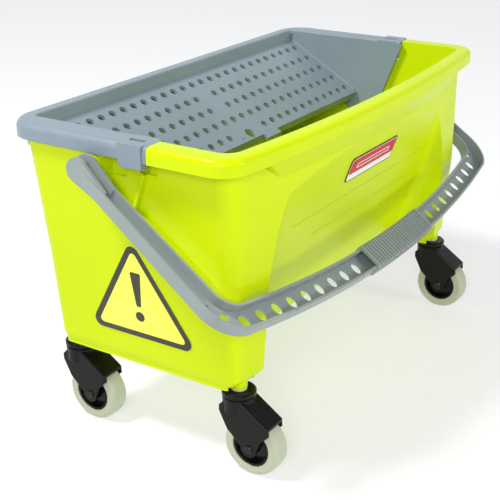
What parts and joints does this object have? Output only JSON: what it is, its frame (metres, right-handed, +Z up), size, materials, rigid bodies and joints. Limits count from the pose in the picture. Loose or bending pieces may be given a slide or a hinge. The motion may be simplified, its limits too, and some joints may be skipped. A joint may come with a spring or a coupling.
{
  "type": "mop bucket with press wringer",
  "caption": "Rectangular wheeled mop bucket with a lift-out sloping sieve plate for pressing flat mops, a channel-section bail handle and swivel casters.",
  "frame": {"origin": "on the floor, below the middle of the whole object's outer box", "axes": "+X to the right along the length, +Y to the back, +Z up; the parked handle lies at the front, -Y"},
  "size_m": [0.6188, 0.3186, 0.34],
  "materials": {
    "yellow_plastic": "satin moulded",
    "grey_plastic": "satin moulded",
    "grey_green_plastic": "satin moulded",
    "black_plastic": "satin moulded",
    "tyre": "matte",
    "nylon": "plain",
    "plated_steel": "zinc plated",
    "label": "printed film",
    "badge": "printed film"
  },
  "bodies": {
    "bucket": {"bucket_shell": "yellow_plastic", "pivot_pin_left": "plated_steel", "pivot_pin_right": "plated_steel", "hazard_label_left": "label", "hazard_label_right": "label", "front_badge": "badge", "caster_front_left_socket": "nylon", "caster_front_left_stem": "plated_steel", "caster_front_left_cup": "black_plastic", "caster_front_left_balls": "plated_steel", "caster_front_right_socket": "nylon", "caster_front_right_stem": "plated_steel", "caster_front_right_cup": "black_plastic", "caster_front_right_balls": "plated_steel", "caster_back_left_socket": "nylon", "caster_back_left_stem": "plated_steel", "caster_back_left_cup": "black_plastic", "caster_back_left_balls": "plated_steel", "caster_back_right_socket": "nylon", "caster_back_right_stem": "plated_steel", "caster_back_right_cup": "black_plastic", "caster_back_right_balls": "plated_steel"},
    "wringer": {"press_wringer": "grey_plastic"},
    "handle": {"handle_bail": "grey_green_plastic", "handle_grip": "grey_green_plastic"},
    "swivel_front_left": {"caster_front_left_horn": "black_plastic", "caster_front_left_axle": "plated_steel"},
    "wheel_front_left": {"caster_front_left_bushing": "nylon", "caster_front_left_wheel_core": "black_plastic", "caster_front_left_tyre": "tyre"},
    "swivel_front_right": {"caster_front_right_horn": "black_plastic", "caster_front_right_axle": "plated_steel"},
    "wheel_front_right": {"caster_front_right_bushing": "nylon", "caster_front_right_wheel_core": "black_plastic", "caster_front_right_tyre": "tyre"},
    "swivel_back_left": {"caster_back_left_horn": "black_plastic", "caster_back_left_axle": "plated_steel"},
    "wheel_back_left": {"caster_back_left_bushing": "nylon", "caster_back_left_wheel_core": "black_plastic", "caster_back_left_tyre": "tyre"},
    "swivel_back_right": {"caster_back_right_horn": "black_plastic", "caster_back_right_axle": "plated_steel"},
    "wheel_back_right": {"caster_back_right_bushing": "nylon", "caster_back_right_wheel_core": "black_plastic", "caster_back_right_tyre": "tyre"}
  },
  "joints": [
    {"name": "handle_swing", "type": "hinge", "parent": "bucket", "child": "handle", "pos_m": [0, 0.0453, 0.312], "axis": [-1, 0, 0], "range_deg": [0, 250]},
    {"name": "wringer_lift", "type": "slide", "parent": "bucket", "child": "wringer", "axis": [0, 0, 1], "range_m": [0, 0.115]},
    {"name": "swivel_front_left", "type": "hinge", "parent": "bucket", "child": "swivel_front_left", "pos_m": [-0.2325, -0.0882, 0.075], "axis": [0, 0, 1], "continuous": true},
    {"name": "roll_front_left", "type": "hinge", "parent": "swivel_front_left", "child": "wheel_front_left", "pos_m": [-0.2325, -0.1082, 0.0315], "axis": [1, 0, 0], "continuous": true},
    {"name": "swivel_front_right", "type": "hinge", "parent": "bucket", "child": "swivel_front_right", "pos_m": [0.2325, -0.0882, 0.075], "axis": [0, 0, 1], "continuous": true},
    {"name": "roll_front_right", "type": "hinge", "parent": "swivel_front_right", "child": "wheel_front_right", "pos_m": [0.2325, -0.1082, 0.0315], "axis": [1, 0, 0], "continuous": true},
    {"name": "swivel_back_left", "type": "hinge", "parent": "bucket", "child": "swivel_back_left", "pos_m": [-0.2325, 0.1168, 0.075], "axis": [0, 0, 1], "continuous": true},
    {"name": "roll_back_left", "type": "hinge", "parent": "swivel_back_left", "child": "wheel_back_left", "pos_m": [-0.2325, 0.0968, 0.0315], "axis": [1, 0, 0], "continuous": true},
    {"name": "swivel_back_right", "type": "hinge", "parent": "bucket", "child": "swivel_back_right", "pos_m": [0.2325, 0.1168, 0.075], "axis": [0, 0, 1], "continuous": true},
    {"name": "roll_back_right", "type": "hinge", "parent": "swivel_back_right", "child": "wheel_back_right", "pos_m": [0.2325, 0.0968, 0.0315], "axis": [1, 0, 0], "continuous": true}
  ]
}
